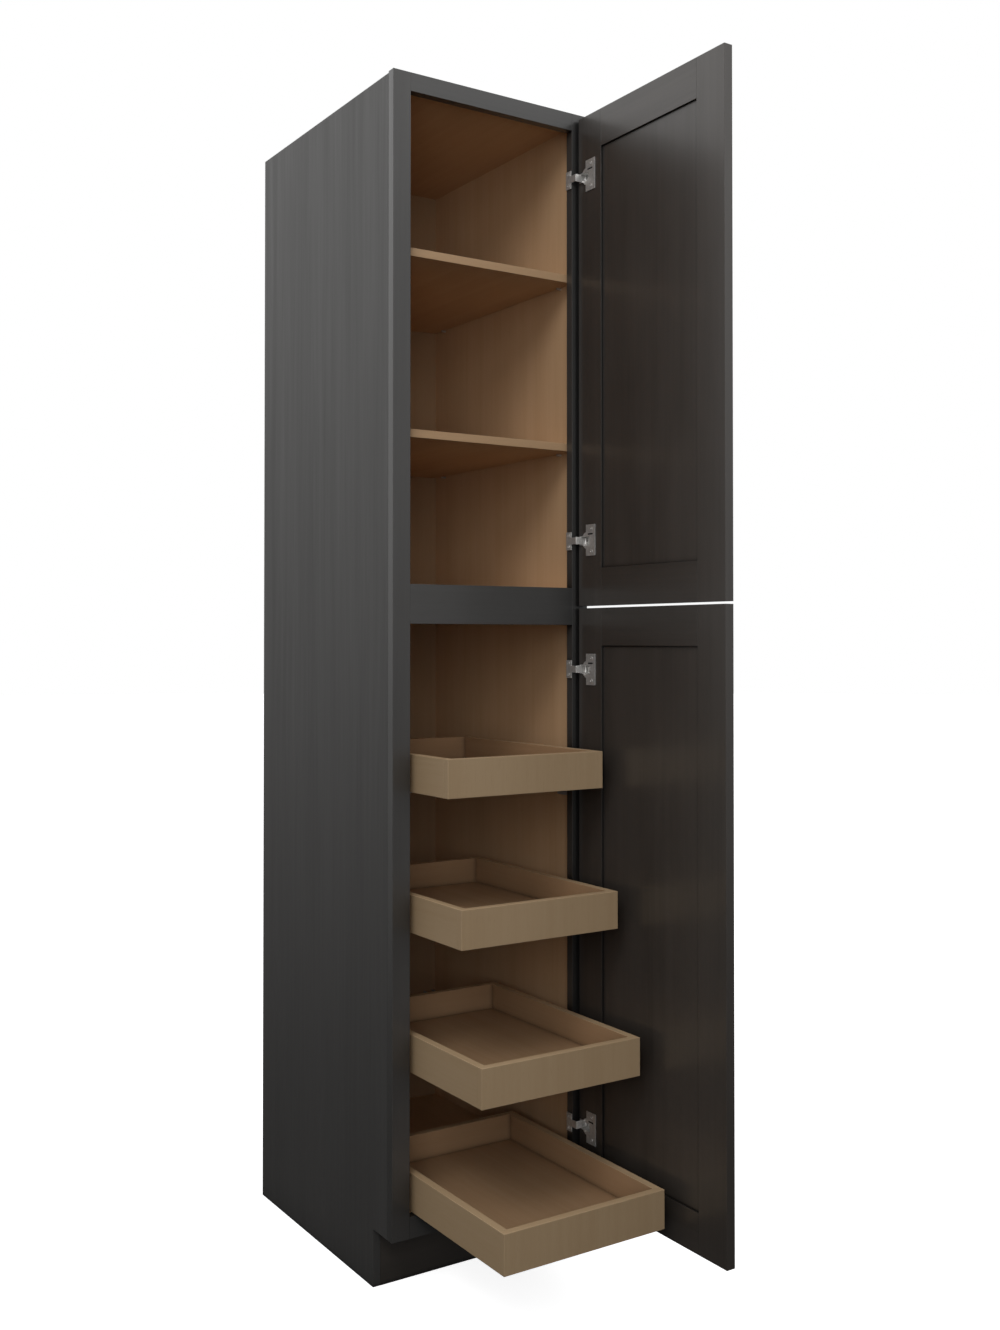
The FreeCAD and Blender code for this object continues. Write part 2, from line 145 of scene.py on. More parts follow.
direction = sky.nodes.new("ShaderNodeTexCoord")
split = sky.nodes.new("ShaderNodeSeparateXYZ")
sky.links.new(direction.outputs["Generated"], split.inputs[0])
on_wood = remap(sky, split.outputs["Z"], (-0.20, 0.75), (0.01, 0.42))
in_sheen = remap(sky, split.outputs["Z"], (-0.28, 0.44), (0.0, 1.30))

ray = sky.nodes.new("ShaderNodeLightPath")
strength = sky.nodes.new("ShaderNodeMix")
sky.links.new(ray.outputs["Is Glossy Ray"], strength.inputs["Factor"])
sky.links.new(on_wood, strength.inputs["A"])
sky.links.new(in_sheen, strength.inputs["B"])
sky.links.new(strength.outputs["Result"], lighting.inputs["Strength"])
chosen_sky = sky.nodes.new("ShaderNodeMixShader")
sky.links.new(ray.outputs["Is Camera Ray"], chosen_sky.inputs[0])
sky.links.new(lighting.outputs[0], chosen_sky.inputs[1])
sky.links.new(behind.outputs[0], chosen_sky.inputs[2])
sky.links.new(chosen_sky.outputs[0], sky.nodes["World Output"].inputs["Surface"])
bpy.context.scene.view_settings.view_transform = "Standard"
print("surround nodes", len(sky.nodes))

# %% [markdown]
# Every finish below is built from the same few moves: a noise stretched along the grain, a value taken
# from one range to another, and several values weighed together. They could be wired by hand in each
# material, but small functions keep the finishes short and let their numbers be compared.


# %% Tools for shader groups
def new_group(name, inputs, outputs):
    """An empty shader group with named sockets: inputs are (name, kind, value), outputs (name, kind)."""
    tree = bpy.data.node_groups.new(name, "ShaderNodeTree")
    for label, kind, value in inputs:
        socket = tree.interface.new_socket(label, in_out="INPUT", socket_type=f"NodeSocket{kind}")
        if value is not None:
            socket.default_value = value
    for label, kind in outputs:
        tree.interface.new_socket(label, in_out="OUTPUT", socket_type=f"NodeSocket{kind}")
    start = tree.nodes.new("NodeGroupInput")
    end = tree.nodes.new("NodeGroupOutput")
    return tree, start, end


def stretched_noise(tree, place, scale, detail, rough=0.5, distortion=0.0):
    """A noise whose coordinates are the place times a scale of its own on each axis."""
    sized = tree.nodes.new("ShaderNodeVectorMath")
    sized.operation = "MULTIPLY"
    sized.inputs[1].default_value = scale
    tree.links.new(place, sized.inputs[0])
    noise = tree.nodes.new("ShaderNodeTexNoise")
    noise.inputs["Scale"].default_value = 1.0
    noise.inputs["Detail"].default_value = detail
    noise.inputs["Roughness"].default_value = rough
    noise.inputs["Distortion"].default_value = distortion
    tree.links.new(sized.outputs[0], noise.inputs["Vector"])
    return noise.outputs["Fac"]


def times(tree, first, second):
    """One value times another, which is a number or another output."""
    node = tree.nodes.new("ShaderNodeMath")
    node.operation = "MULTIPLY"
    tree.links.new(first, node.inputs[0])
    if isinstance(second, (int, float)):
        node.inputs[1].default_value = second
    else:
        tree.links.new(second, node.inputs[1])
    return node.outputs[0]


def weigh(tree, *terms):
    """The sum of values, each times its weight."""
    total = None
    for value, weight in terms:
        node = tree.nodes.new("ShaderNodeMath")
        node.operation = "MULTIPLY_ADD"
        tree.links.new(value, node.inputs[0])
        node.inputs[1].default_value = weight
        if total is None:
            node.inputs[2].default_value = 0.0
        else:
            tree.links.new(total, node.inputs[2])
        total = node.outputs[0]
    return total


print("tools ready for", bpy.app.version_string)

# %% [markdown]
# Wood has three sizes of detail: wide bands that drift in tone, fine fibres that run the whole length,
# and short pores. A picture of wood would repeat, so each is a noise that is stretched along the grain.
# They sit in one node group, because the stained boards and the maple share the same structure and
# differ only in colour.


# %% The wood figure group
def wood_figure_group():
    """Bands drift over a board, Fibres are fine streaks, Pores short ticks. The grain is along Place's Z."""
    tree, start, end = new_group(
        "wood_figure",
        [("Place", "Vector", None)],
        [("Bands", "Float"), ("Fibres", "Float"), ("Pores", "Float"), ("Height", "Float")],
    )
    place = start.outputs["Place"]
    drift = stretched_noise(tree, place, (9, 9, 0.5), 3, 0.5, 0.6)
    clouds = stretched_noise(tree, place, (7, 7, 3), 3, 0.55, 0.4)
    bands = remap(tree, weigh(tree, (drift, 0.6), (clouds, 0.4)), (0.38, 0.62))
    fine = stretched_noise(tree, place, (130, 130, 3.2), 4, 0.6)
    coarse = stretched_noise(tree, place, (32, 32, 1.2), 3, 0.55, 0.3)
    fibres = remap(tree, weigh(tree, (fine, 0.4), (coarse, 0.6)), (0.36, 0.64))
    pores = remap(tree, stretched_noise(tree, place, (800, 800, 40), 2), (0.60, 0.78))
    height = weigh(tree, (fibres, 0.5), (pores, -0.5))
    for label, value in (("Bands", bands), ("Fibres", fibres), ("Pores", pores), ("Height", height)):
        tree.links.new(value, end.inputs[label])
    return tree


WOOD_FIGURE = wood_figure_group()
print("group", WOOD_FIGURE.name, "nodes", len(WOOD_FIGURE.nodes))

# %% [markdown]
# Handling rubs the finish thin along the corners of a board, and a corner also catches the light, so the
# colour is lightened there: partly rubbing, partly a painted highlight. It could be painted on by hand,
# but the shader's Bevel node knows where a corner is: there its rounded normal leaves the face's own
# normal. One minus their dot product is a mask of the edges, and a noise breaks it up so that the
# lightening isn't a drawn outline.


# %% The edge rubbing and highlight group
def edge_rub_and_highlight_group():
    """Place is for the patches, Width a corner's reach in metres, Amount the lightening, part rubbing, part
    painted highlight.
    """
    tree, start, end = new_group(
        "edge_rub_and_highlight",
        [("Place", "Vector", None), ("Width", "Float", 0.002), ("Amount", "Float", 1.0)],
        [("Rub and Highlight", "Float")],
    )
    rounded = tree.nodes.new("ShaderNodeBevel")
    rounded.samples = 4
    tree.links.new(start.outputs["Width"], rounded.inputs["Radius"])
    flat = tree.nodes.new("ShaderNodeNewGeometry")
    dot = tree.nodes.new("ShaderNodeVectorMath")
    dot.operation = "DOT_PRODUCT"
    tree.links.new(rounded.outputs["Normal"], dot.inputs[0])
    tree.links.new(flat.outputs["Normal"], dot.inputs[1])
    # Where the colour is lightened at corners: partly rubbing, partly a painted highlight.
    edge = remap(tree, dot.outputs["Value"], (0.995, 0.90))
    patchy = remap(tree, stretched_noise(tree, start.outputs["Place"], (60, 60, 25), 3), (0.35, 0.62))
    rubbed_and_lit = times(tree, times(tree, edge, patchy), start.outputs["Amount"])
    tree.links.new(rubbed_and_lit, end.inputs["Rub and Highlight"])
    return tree


EDGE_RUB_AND_HIGHLIGHT = edge_rub_and_highlight_group()
print("group", EDGE_RUB_AND_HIGHLIGHT.name, "nodes", len(EDGE_RUB_AND_HIGHLIGHT.nodes))

# %% [markdown]
# A frame-and-panel door shows a dark line around its panel, where its inner corners lie in shade. Here
# that shade is painted into the colour. The lines could be modelled as thin strips, but Ambient
# Occlusion finds them by itself, because it measures how closed in a point is: over a few millimetres
# the painted shade lines, over a hand's width the painted shade under a rail.


# %% The painted shade group
def painted_crevice_shade_group():
    """Line is painted shade in narrow corners, Shade is painted shade over closed-in places."""
    tree, start, end = new_group(
        "painted_crevice_shade",
        [("Line Width", "Float", 0.011), ("Shade Width", "Float", 0.08)],
        [("Line", "Float"), ("Shade", "Float")],
    )
    # Each occlusion mask becomes painted shade: the more closed in a point, the darker it is painted.
    for label, width in (("Line", "Line Width"), ("Shade", "Shade Width")):
        open_sky = tree.nodes.new("ShaderNodeAmbientOcclusion")
        open_sky.samples = 8
        tree.links.new(start.outputs[width], open_sky.inputs["Distance"])
        tree.links.new(remap(tree, open_sky.outputs["AO"], (0.97, 0.50)), end.inputs[label])
    return tree


PAINTED_CREVICE_SHADE = painted_crevice_shade_group()
print("group", PAINTED_CREVICE_SHADE.name, "nodes", len(PAINTED_CREVICE_SHADE.nodes))

# %% [markdown]
# A board is cut so that its grain follows its length: up a stile, across a rail, and front to back on a
# shelf or a tray side. One finish could be turned by hand for each board, but it is made once for each
# direction instead. The pattern's coordinates are turned so that the grain always runs along their Z.

# %% Tools for finishes
ALONG = {
    "up": (0.0, 0.0, 0.0),
    "across": (0.0, math.radians(90), 0.0),
    "deep": (math.radians(90), 0.0, 0.0),
}


def start_material(name):
    """A material with nodes, its tree and its main shader."""
    material = bpy.data.materials.new(name)
    material.use_nodes = True
    return material, material.node_tree, material.node_tree.nodes["Principled BSDF"]


def tint(tree, base, other, mask, strength):
    """The base colour mixed towards another by a mask, at most by that strength."""
    mix = tree.nodes.new("ShaderNodeMix")
    mix.data_type = "RGBA"
    tree.links.new(times(tree, mask, strength), mix.inputs["Factor"])
    if isinstance(base, tuple):
        mix.inputs["A"].default_value = (*base, 1)
    else:
        tree.links.new(base, mix.inputs["A"])
    mix.inputs["B"].default_value = (*other, 1)
    return mix.outputs["Result"]


def board_place(tree, turn=(0, 0, 0)):
    """The piece's own coordinates, turned so that the grain runs along Z."""
    own = tree.nodes.new("ShaderNodeTexCoord")
    mapping = tree.nodes.new("ShaderNodeMapping")
    mapping.inputs["Rotation"].default_value = turn
    tree.links.new(own.outputs["Object"], mapping.inputs["Vector"])
    return mapping.outputs["Vector"]


def use_group(tree, group, **values):
    """A group placed in a material, each named input set to a number or linked to an output."""
    node = tree.nodes.new("ShaderNodeGroup")
    node.node_tree = group
    for label, value in values.items():
        if isinstance(value, (int, float)):
            node.inputs[label].default_value = value
        else:
            tree.links.new(value, node.inputs[label])
    return node


def raise_grain(tree, shader, height, depth, strength):
    """Relief of that depth, in metres, from a height that changes over the surface."""
    bump = tree.nodes.new("ShaderNodeBump")
    bump.inputs["Distance"].default_value = depth
    bump.inputs["Strength"].default_value = strength
    tree.links.new(height, bump.inputs["Height"])
    tree.links.new(bump.outputs["Normal"], shader.inputs["Normal"])


print("grain can run", ", ".join(ALONG))

# %% [markdown]
# Stained wood is a thin brown-black film over maple under a satin lacquer: the fibres still show as
# faint lighter and darker lines, and the sheen is soft. Bare maple is the same structure with pale
# colours and a calmer range. A material could be wired for each, but one function lays the same coats
# in the same order.


# %% One function for every wood
def wood_finish(name, along, shades, rough, coat, contrast, rub_and_highlight, painted_shade_depth):
    """shades: body, light fibre, dark band, pore, rubbed and highlighted edge. contrast: weight of bands,
    fibres, pores. The last argument: how dark the painted shade gets in corner lines and closed-in places."""
    body, light, dark, pore, rubbed_and_lit = shades
    material, tree, shader = start_material(name)
    place = board_place(tree, ALONG[along])
    figure = use_group(tree, WOOD_FIGURE, Place=place)
    tone = tint(tree, body, dark, figure.outputs["Bands"], contrast[0])
    tone = tint(tree, tone, light, figure.outputs["Fibres"], contrast[1])
    tone = tint(tree, tone, pore, figure.outputs["Pores"], contrast[2])
    # Corners are lightened towards the fifth shade: partly rubbing, partly a painted highlight.
    edges = use_group(tree, EDGE_RUB_AND_HIGHLIGHT, Place=place, Width=1.2 * MM, Amount=rub_and_highlight)
    tone = tint(tree, tone, rubbed_and_lit, edges.outputs["Rub and Highlight"], 1.0)
    # Painted shade: the colour goes towards near black in narrow corners and in closed-in places.
    corners = use_group(tree, PAINTED_CREVICE_SHADE)
    nearly_black = tuple(channel * 0.12 for channel in dark)
    tone = tint(tree, tone, nearly_black, corners.outputs["Line"], painted_shade_depth[0])
    tone = tint(tree, tone, nearly_black, corners.outputs["Shade"], painted_shade_depth[1])
    tree.links.new(tone, shader.inputs["Base Color"])
    roughness = remap(tree, figure.outputs["Fibres"], target=(rough + 0.05, rough - 0.05))
    tree.links.new(roughness, shader.inputs["Roughness"])
    # The coat thins along the same painted shade lines, so the sheen dims there as well.
    if coat:
        lacquer = remap(tree, corners.outputs["Line"], target=(coat, coat * 0.2))
        tree.links.new(lacquer, shader.inputs["Coat Weight"])
        shader.inputs["Coat Roughness"].default_value = 0.2
    raise_grain(tree, shader, figure.outputs["Height"], 0.10 * MM, 0.30)
    return material


def each_way(name, ways, *recipe):
    """The same finish for each of the ways in which its boards run."""
    return {along: wood_finish(f"{name}_{along}", along, *recipe) for along in ways}


print("a wood finish uses", WOOD_FIGURE.name, EDGE_RUB_AND_HIGHLIGHT.name, PAINTED_CREVICE_SHADE.name)

# %% [markdown]
# The outside is stained charcoal. The doors are given a deeper and browner stain than the frame. The
# side panel is veneered and has less lacquer, so it mirrors less of the room. One stain could serve all
# three, but these small differences separate the boards.

# %% Stained finishes
STAIN = (
    (0.058, 0.0555, 0.0530),
    (0.074, 0.071, 0.068),
    (0.047, 0.0448, 0.0425),
    (0.030, 0.028, 0.026),
    (0.120, 0.111, 0.100),
)
DARK_STAIN = (
    (0.062, 0.0530, 0.0460),
    (0.080, 0.0700, 0.0615),
    (0.038, 0.0318, 0.0270),
    (0.022, 0.0185, 0.0160),
    (0.105, 0.093, 0.080),
)
stained = each_way("stained", ("up", "across"), STAIN, 0.42, 0.6, (0.75, 0.35, 0.25), 0.12, (0.8, 0.9))
door_stained = each_way("door_stained", ALONG, DARK_STAIN, 0.40, 0.5, (1.0, 0.35, 0.2), 0.08, (1.0, 0.30))
side_stained = wood_finish("side_stained_up", "up", STAIN, 0.5, 0.12, (0.85, 0.4, 0.25), 0.12, (0.8, 0.3))
print("stained finishes", len(stained) + len(door_stained) + 1)

# %% [markdown]
# The inside is maple under a clear finish. The walls of the bays are the palest and the tray boards a
# little browner. The floors and inner faces of the trays are a darker, browner maple, painted shade for
# the inside of a box, and the rims of the trays a lighter copy, a painted highlight on their tops. The
# back panel is a darker copy of the walls' maple, painted shade deep in the bays. The wood could be one
# colour throughout, but separate shades keep the trays readable against the wall behind them.


# %% Maple finishes
def scaled(shades, factor):
    """A palette made lighter or darker, kept at or below full white."""
    return tuple(tuple(min(1.0, channel * factor) for channel in shade) for shade in shades)


MAPLE = (
    (0.500, 0.352, 0.206),
    (0.550, 0.400, 0.245),
    (0.425, 0.288, 0.158),
    (0.350, 0.215, 0.110),
    (0.640, 0.480, 0.310),
)
INNER_MAPLE = (
    (0.640, 0.415, 0.235),
    (0.700, 0.475, 0.280),
    (0.545, 0.335, 0.180),
    (0.450, 0.260, 0.132),
    (0.720, 0.515, 0.330),
)
# A darker, browner maple: painted shade for the floors and inner faces of the trays.
SHADED_TRAY_MAPLE = (
    (0.480, 0.300, 0.165),
    (0.530, 0.345, 0.200),
    (0.400, 0.240, 0.125),
    (0.330, 0.185, 0.092),
    (0.560, 0.380, 0.230),
)
CLEAR = (0.0, 0.0)
LYING = ("across", "deep")
maple = each_way("maple", ALONG, MAPLE, 0.50, 0.05, (0.5, 0.4, 0.3), 0.5, (0.4, 0.0))
inner_maple = each_way("inner_maple", ALONG, INNER_MAPLE, 0.55, 0.0, (0.6, 0.4, 0.3), 0.2, CLEAR)
tray_maple = each_way("tray_maple", LYING, SHADED_TRAY_MAPLE, 0.55, 0.0, (0.5, 0.35, 0.3), 0.0, (0.4, 0.2))
# A lighter copy of the tray maple: a painted highlight on the upward rims of the trays.
lit_rim_maple = each_way("lit_rim_maple", LYING, scaled(MAPLE, 1.25), 0.50, 0.05, (0.5, 0.4, 0.3), 0.4, CLEAR)
# A darker copy of the inner maple: painted shade on the back panel, deep in the bays.
SHADED_BACK_PALETTE = scaled(INNER_MAPLE, 0.66)
shaded_back_maple = wood_finish("back_maple_up", "up", SHADED_BACK_PALETTE, 0.55, 0.0, (0.6, 0.4, 0.3), 0.0, CLEAR)
print("wood finishes", sum(material.name.endswith(tuple(ALONG)) for material in bpy.data.materials))

# %% [markdown]
# The hinges are stamped steel with a satin nickel plate: a warm grey, brushed one way, with a soft
# reflection. The runners are zinc plated, bluer and blotchier. Both are metals whose roughness, not
# colour, carries the detail, so one function makes them from a stretched noise and a cloudy one.


# %% Metal finishes
def plated_steel(name, tone, rough, brushed, clouds):
    """Steel plated in that tone. brushed and clouds: the noise scales of its lines and its patches."""
    material, tree, shader = start_material(name)
    place = board_place(tree)
    lines = stretched_noise(tree, place, brushed, 3, 0.6)
    patches = stretched_noise(tree, place, clouds, 4, 0.6)
    dull = tuple(channel * 0.72 for channel in tone)
    plate = tint(tree, tone, dull, remap(tree, patches, (0.35, 0.7)), 0.8)
    tree.links.new(plate, shader.inputs["Base Color"])
    mixed = remap(tree, weigh(tree, (lines, 0.7), (patches, 0.3)), (0.3, 0.7))
    roughness = remap(tree, mixed, target=(rough - 0.08, rough + 0.08))
    tree.links.new(roughness, shader.inputs["Roughness"])
    shader.inputs["Metallic"].default_value = 0.7
    raise_grain(tree, shader, lines, 0.02 * MM, 0.3)
    return material


nickel = plated_steel("satin_nickel", (0.74, 0.73, 0.71), 0.45, (2500, 2500, 120), (160, 160, 160))
zinc = plated_steel("zinc_plate", (0.58, 0.60, 0.62), 0.42, (1200, 60, 1200), (90, 90, 90))
bright_nickel = plated_steel("bright_nickel", (0.78, 0.77, 0.75), 0.22, (3000, 3000, 3000), (300, 300, 300))
print("metals", nickel.name, zinc.name, bright_nickel.name)

# %% [markdown]
# Every board leaves the shop with its sharp corners eased by a pass of sandpaper, and that thin line is
# what catches the light. The corners could be cut into new meshes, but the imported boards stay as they
# are: three modifiers weld their loose triangles, dissolve the flat faces back to whole ones, and bevel
# what is left sharp.


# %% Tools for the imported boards
def ease(node, width):
    """Rounds the corners of a packed board by that width."""
    piece = NODES[node]
    weld = piece.modifiers.new("weld", "WELD")
    weld.merge_threshold = 0.01 * MM
    flat = piece.modifiers.new("flat_faces", "DECIMATE")
    flat.decimate_type = "DISSOLVE"
    flat.angle_limit = math.radians(0.5)
    bevel = piece.modifiers.new("eased_edges", "BEVEL")
    bevel.width = width
    bevel.segments = 2
    bevel.limit_method = "ANGLE"
    bevel.angle_limit = math.radians(30)


def finish_node(node, *materials):
    """Puts the materials in the node's slots, the first on every face."""
    mesh = NODES[node].data
    mesh.materials.clear()
    for material in materials:
        mesh.materials.append(material)
    for face in mesh.polygons:
        face.material_index = 0


def face_slot(node, index, chosen):
    """Gives another slot to the faces that pass the test."""
    for face in NODES[node].data.polygons:
        if chosen(face):
            face.material_index = index


def looks(x, y, z):
    """A test for the faces that look along a direction."""
    direction = Vector((x, y, z))
    return lambda face: face.normal.dot(direction) > 0.9


print("boards to finish", len(NODES))

# %% [markdown]
# The face frame and the doors are solid boards joined at right angles, so their grain changes direction
# at each joint: up on the stiles, along the rails. The doors hang open, which turns the length of their
# rails front to back. The finish could follow each board's longest side, but its name already says
# which it is.

# %% Face frame and doors
FRAME_NODES = [name for name in NODES if name.startswith("face_frame")]
DOOR_PARTS = ("hinge_stile", "latch_stile", "top_rail", "bottom_rail", "panel")
DOOR_NODES = [f"{door}_door_{part}" for door in ("upper", "lower") for part in DOOR_PARTS]
for name in FRAME_NODES:
    ease(name, 0.5 * MM)
    finish_node(name, stained["across" if name.endswith("rail") else "up"])
for name in DOOR_NODES:
    ease(name, 0.4 * MM)
    finish_node(name, door_stained["deep" if name.endswith("rail") else "up"])
# The toe kick takes the darker door stain, painted shade for the recess it stands in.
finish_node("toe_kick", door_stained["across"])
print("frame boards", len(FRAME_NODES), "door boards", len(DOOR_NODES))

# %% [markdown]
# The carcass panels are stained outside and clear inside, as veneered sheets often are. Two thin sheets
# could be laid back to back, but a panel is one board, so its faces take one of two finishes by the way
# they look. Shelves and decks show long grain above and end grain in front, which is turned across.

# %% Carcass and shelves
for name, inward in (("left_side_panel", looks(1, 0, 0)), ("right_side_panel", looks(-1, 0, 0))):
    ease(name, 0.6 * MM)
    finish_node(name, side_stained, inner_maple["up"])
    face_slot(name, 1, inward)
# The back panel takes the darker maple, which is painted shade.
finish_node("back_panel", shaded_back_maple)
SHELVES = ("upper_shelf", "lower_shelf")
LYING_PANELS = ("top_panel", "middle_deck", "bottom_deck", *SHELVES)
for name in LYING_PANELS:
    finish_node(name, inner_maple["deep"], inner_maple["across"])
    face_slot(name, 1, looks(0, -1, 0))
for name in SHELVES:
    ease(name, 0.6 * MM)
print("lying panels", len(LYING_PANELS), "of them shelves", len(SHELVES))

# %% [markdown]
# Each tray is an open box: front, back, two sides and a thin floor, on steel runners. Its inside is
# painted darker, as painted shade, and its rim lighter, as a painted highlight on the upward faces. A
# single finish would make the box look cast in one lump, so the outside, the inside and the rim take
# three, again by the way each face looks.

# %% Trays and runners
TRAYS = (1, 2, 3, 4)
UP = looks(0, 0, 1)


def inside_of_a_side(face):
    """The inner face of a tray's side looks back towards the middle of the tray."""
    return abs(face.normal.x) > 0.9 and face.normal.x * face.center.x < 0


for number in TRAYS:
    boards = (
        ("front", maple["up"], "across", looks(0, 1, 0)),
        ("back", maple["across"], "across", looks(0, -1, 0)),
        ("sides", maple["deep"], "deep", inside_of_a_side),
    )
    for part, outside, along, inside in boards:
        name = f"tray_{number}_{part}"
        ease(name, 0.8 * MM)
        # Inner faces take the darker maple, painted shade; upward faces the lighter, a painted highlight.
        finish_node(name, outside, tray_maple[along], lit_rim_maple[along])
        face_slot(name, 1, inside)
        face_slot(name, 2, UP)
    # The tray floors take the darker maple too, as painted shade.
    finish_node(f"tray_{number}_bottom", tray_maple["deep"])
    finish_node(f"tray_{number}_runners", zinc)
finish_node("fixed_runners", zinc)
finish_node("runner_brackets", zinc)
print("tray boards", 4 * len(TRAYS))

# %% [markdown]
# The hinge cups, arms and pins are packed as plain steel shapes. They could be replaced, but their
# outlines are right, so only their corners are softened as a stamping press leaves them, and the plate
# is put on. The pins that turn are polished brighter by the motion.

# %% Hinge steel
for name in NODES:
    if name.endswith(("hinge_arm", "hinge_cup")):
        ease(name, 0.35 * MM)
        finish_node(name, nickel)
    elif name.endswith("hinge_pins"):
        finish_node(name, bright_nickel)
    elif name == "shelf_pins":
        finish_node(name, nickel)
print("hinges", sum(name.endswith("hinge_cup") for name in NODES))

# %% [markdown]
# A concealed hinge is more than a cup and an arm: it has a slot where its spring is set, a button for
# the soft close, and a broad cap over the folded end of its arm. Each could be joined from several
# solids, but one cube is enough for a small fitting: its outline is rounded first, then its visible
# face is inset and moved.


# %% Tools for modelling fittings
def start_piece(name, size, centre):
    """A cube of that size around a point, with its transform put into the mesh."""
    bpy.ops.object.select_all(action="DESELECT")
    bpy.ops.mesh.primitive_cube_add(size=1, location=centre, scale=size)
    bpy.ops.object.transform_apply(location=True, rotation=True, scale=True)
    piece = bpy.context.object
    piece.name = name
    return piece


def pick(piece, kind, chosen):
    """Selects only the edges or faces that pass the test, and enters edit mode.
    The mode of selection is set first: in vertex mode, two ends would be enough to select every edge."""
    mesh = piece.data
    for part in (mesh.vertices, mesh.edges, mesh.polygons):
        part.foreach_set("select", [False] * len(part))
    for part in mesh.edges if kind == "EDGE" else mesh.polygons:
        part.select = chosen(part)
    bpy.context.tool_settings.mesh_select_mode = (False, kind == "EDGE", kind == "FACE")
    bpy.ops.object.mode_set(mode="EDIT")


def round_outline(piece, axis, radius, segments):
    """Rounds the four edges that run along an axis, 0 for X and 1 for Y."""
    corners = piece.data.vertices

    def runs_along(edge):
        first, second = (corners[index].co for index in edge.vertices)
        return abs(first[axis] - second[axis]) > 0.1 * MM

    pick(piece, "EDGE", runs_along)
    bpy.ops.mesh.bevel(offset=radius, segments=segments, affect="EDGES")
    bpy.ops.object.mode_set(mode="OBJECT")


def move_face(piece, chosen, steps):
    """Insets the chosen face and moves it, once for each step of (inset, move)."""
    pick(piece, "FACE", chosen)
    for inset, move in steps:
        bpy.ops.mesh.inset(thickness=inset)
        bpy.ops.transform.translate(value=move)
    bpy.ops.object.mode_set(mode="OBJECT")


def copy_piece(piece, name, move):
    """A copy with a mesh of its own, moved in the mesh."""
    twin = piece.copy()
    twin.data = piece.data.copy()
    twin.data.transform(Matrix.Translation(move))
    twin.name = name
    bpy.context.scene.collection.objects.link(twin)
    return twin


print("fittings are measured from", len([name for name in NODES if "hinge_cup" in name]), "cups")

# %% [markdown]
# Four hinges carry the doors, two on each. Their places could be typed in, but they are read from the
# packed cups instead, so that the fittings follow if a hinge is moved. The first one is the model for
# the others.

# %% Where each hinge is
HINGES = {}
for door in ("upper", "lower"):
    for end in ("top", "bottom"):
        low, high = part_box(f"{door}_door_{end}_hinge_cup")
        HINGES[f"{door}_door_{end}"] = Vector((low.x, high.y, (low.z + high.z) / 2))
FIRST = HINGES["upper_door_top"]
CUP_FACE = FIRST.x
DOOR_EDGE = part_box("upper_door_hinge_stile")[1].y
print("hinge heights", [round(place.z, 4) for place in HINGES.values()])

# %% [markdown]
# The slot shows where the hinge's spring is set at the factory: a narrow dark window in the plate of
# the cup. It could be cut through the plate, but nothing shows behind it, so a thin insert with a sunken
# face is lighter and can't leave stray faces. Its dark grey is painted shade for the inside of the slot.

# %% Spring slot
slot_centre = (CUP_FACE + 0.2 * MM, DOOR_EDGE - 41 * MM, FIRST.z + 12.5 * MM)
spring_slot = start_piece("spring_slot", (0.6 * MM, 17 * MM, 3.2 * MM), slot_centre)
round_outline(spring_slot, 0, 1.3 * MM, 4)
move_face(spring_slot, looks(-1, 0, 0), [(0.4 * MM, (0.06 * MM, 0, 0))])
print(spring_slot.name, len(spring_slot.data.polygons), "faces")

# %% [markdown]
# A small button beside the arm switches the soft close on and off. It could be turned as a round stud,
# but real ones are flattened so that a thumb can slide them, so this one is a rounded block with a
# raised middle.

# %% Soft-close button
button_centre = (CUP_FACE - 0.1 * MM, DOOR_EDGE - 20 * MM, FIRST.z - 11 * MM)
soft_button = start_piece("soft_button", (1.0 * MM, 5 * MM, 4 * MM), button_centre)
round_outline(soft_button, 0, 1.8 * MM, 5)
move_face(soft_button, looks(-1, 0, 0), [(0.8 * MM, (-0.3 * MM, 0, 0))])
print(soft_button.name, len(soft_button.data.polygons), "faces")

# %% [markdown]
# The arm ends in a cap, the brightest part of the hinge. It could be drawn on the arm as a lighter
# patch, but it wraps the folded steel, a little taller than the arm, and its rounded corners catch the
# light. It stays inside the slot of the cup when the door shuts.

# %% Arm cap
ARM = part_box("upper_door_top_hinge_arm")
cap_centre = (ARM[0].x + 7.5 * MM, ARM[0].y + 1.05 * MM, FIRST.z)
arm_cap = start_piece("arm_cap", (15 * MM, 0.8 * MM, 14.8 * MM), cap_centre)
round_outline(arm_cap, 1, 1.0 * MM, 3)
move_face(arm_cap, looks(0, -1, 0), [(0.4 * MM, (0, -0.15 * MM, 0))])
print(arm_cap.name, len(arm_cap.data.polygons), "faces")

# %% [markdown]
# A screw holds each plate. Its head is a low dome with a round recess where the driver goes, and behind
# it a shank runs to a point. It could be spun from a profile, but a short cylinder does as well: its
# front face is inset and raised three times, and its back face is inset and drawn out.


# %% Screws
HEAD_RADIUS = 3.8 * MM
SHANK_RADIUS = 2.0 * MM
DOME = ((0.9, -0.2), (0.9, -0.1), (0.25, 0.6))
SHANK = ((8.5, 1.0), (2.2, 0.3))


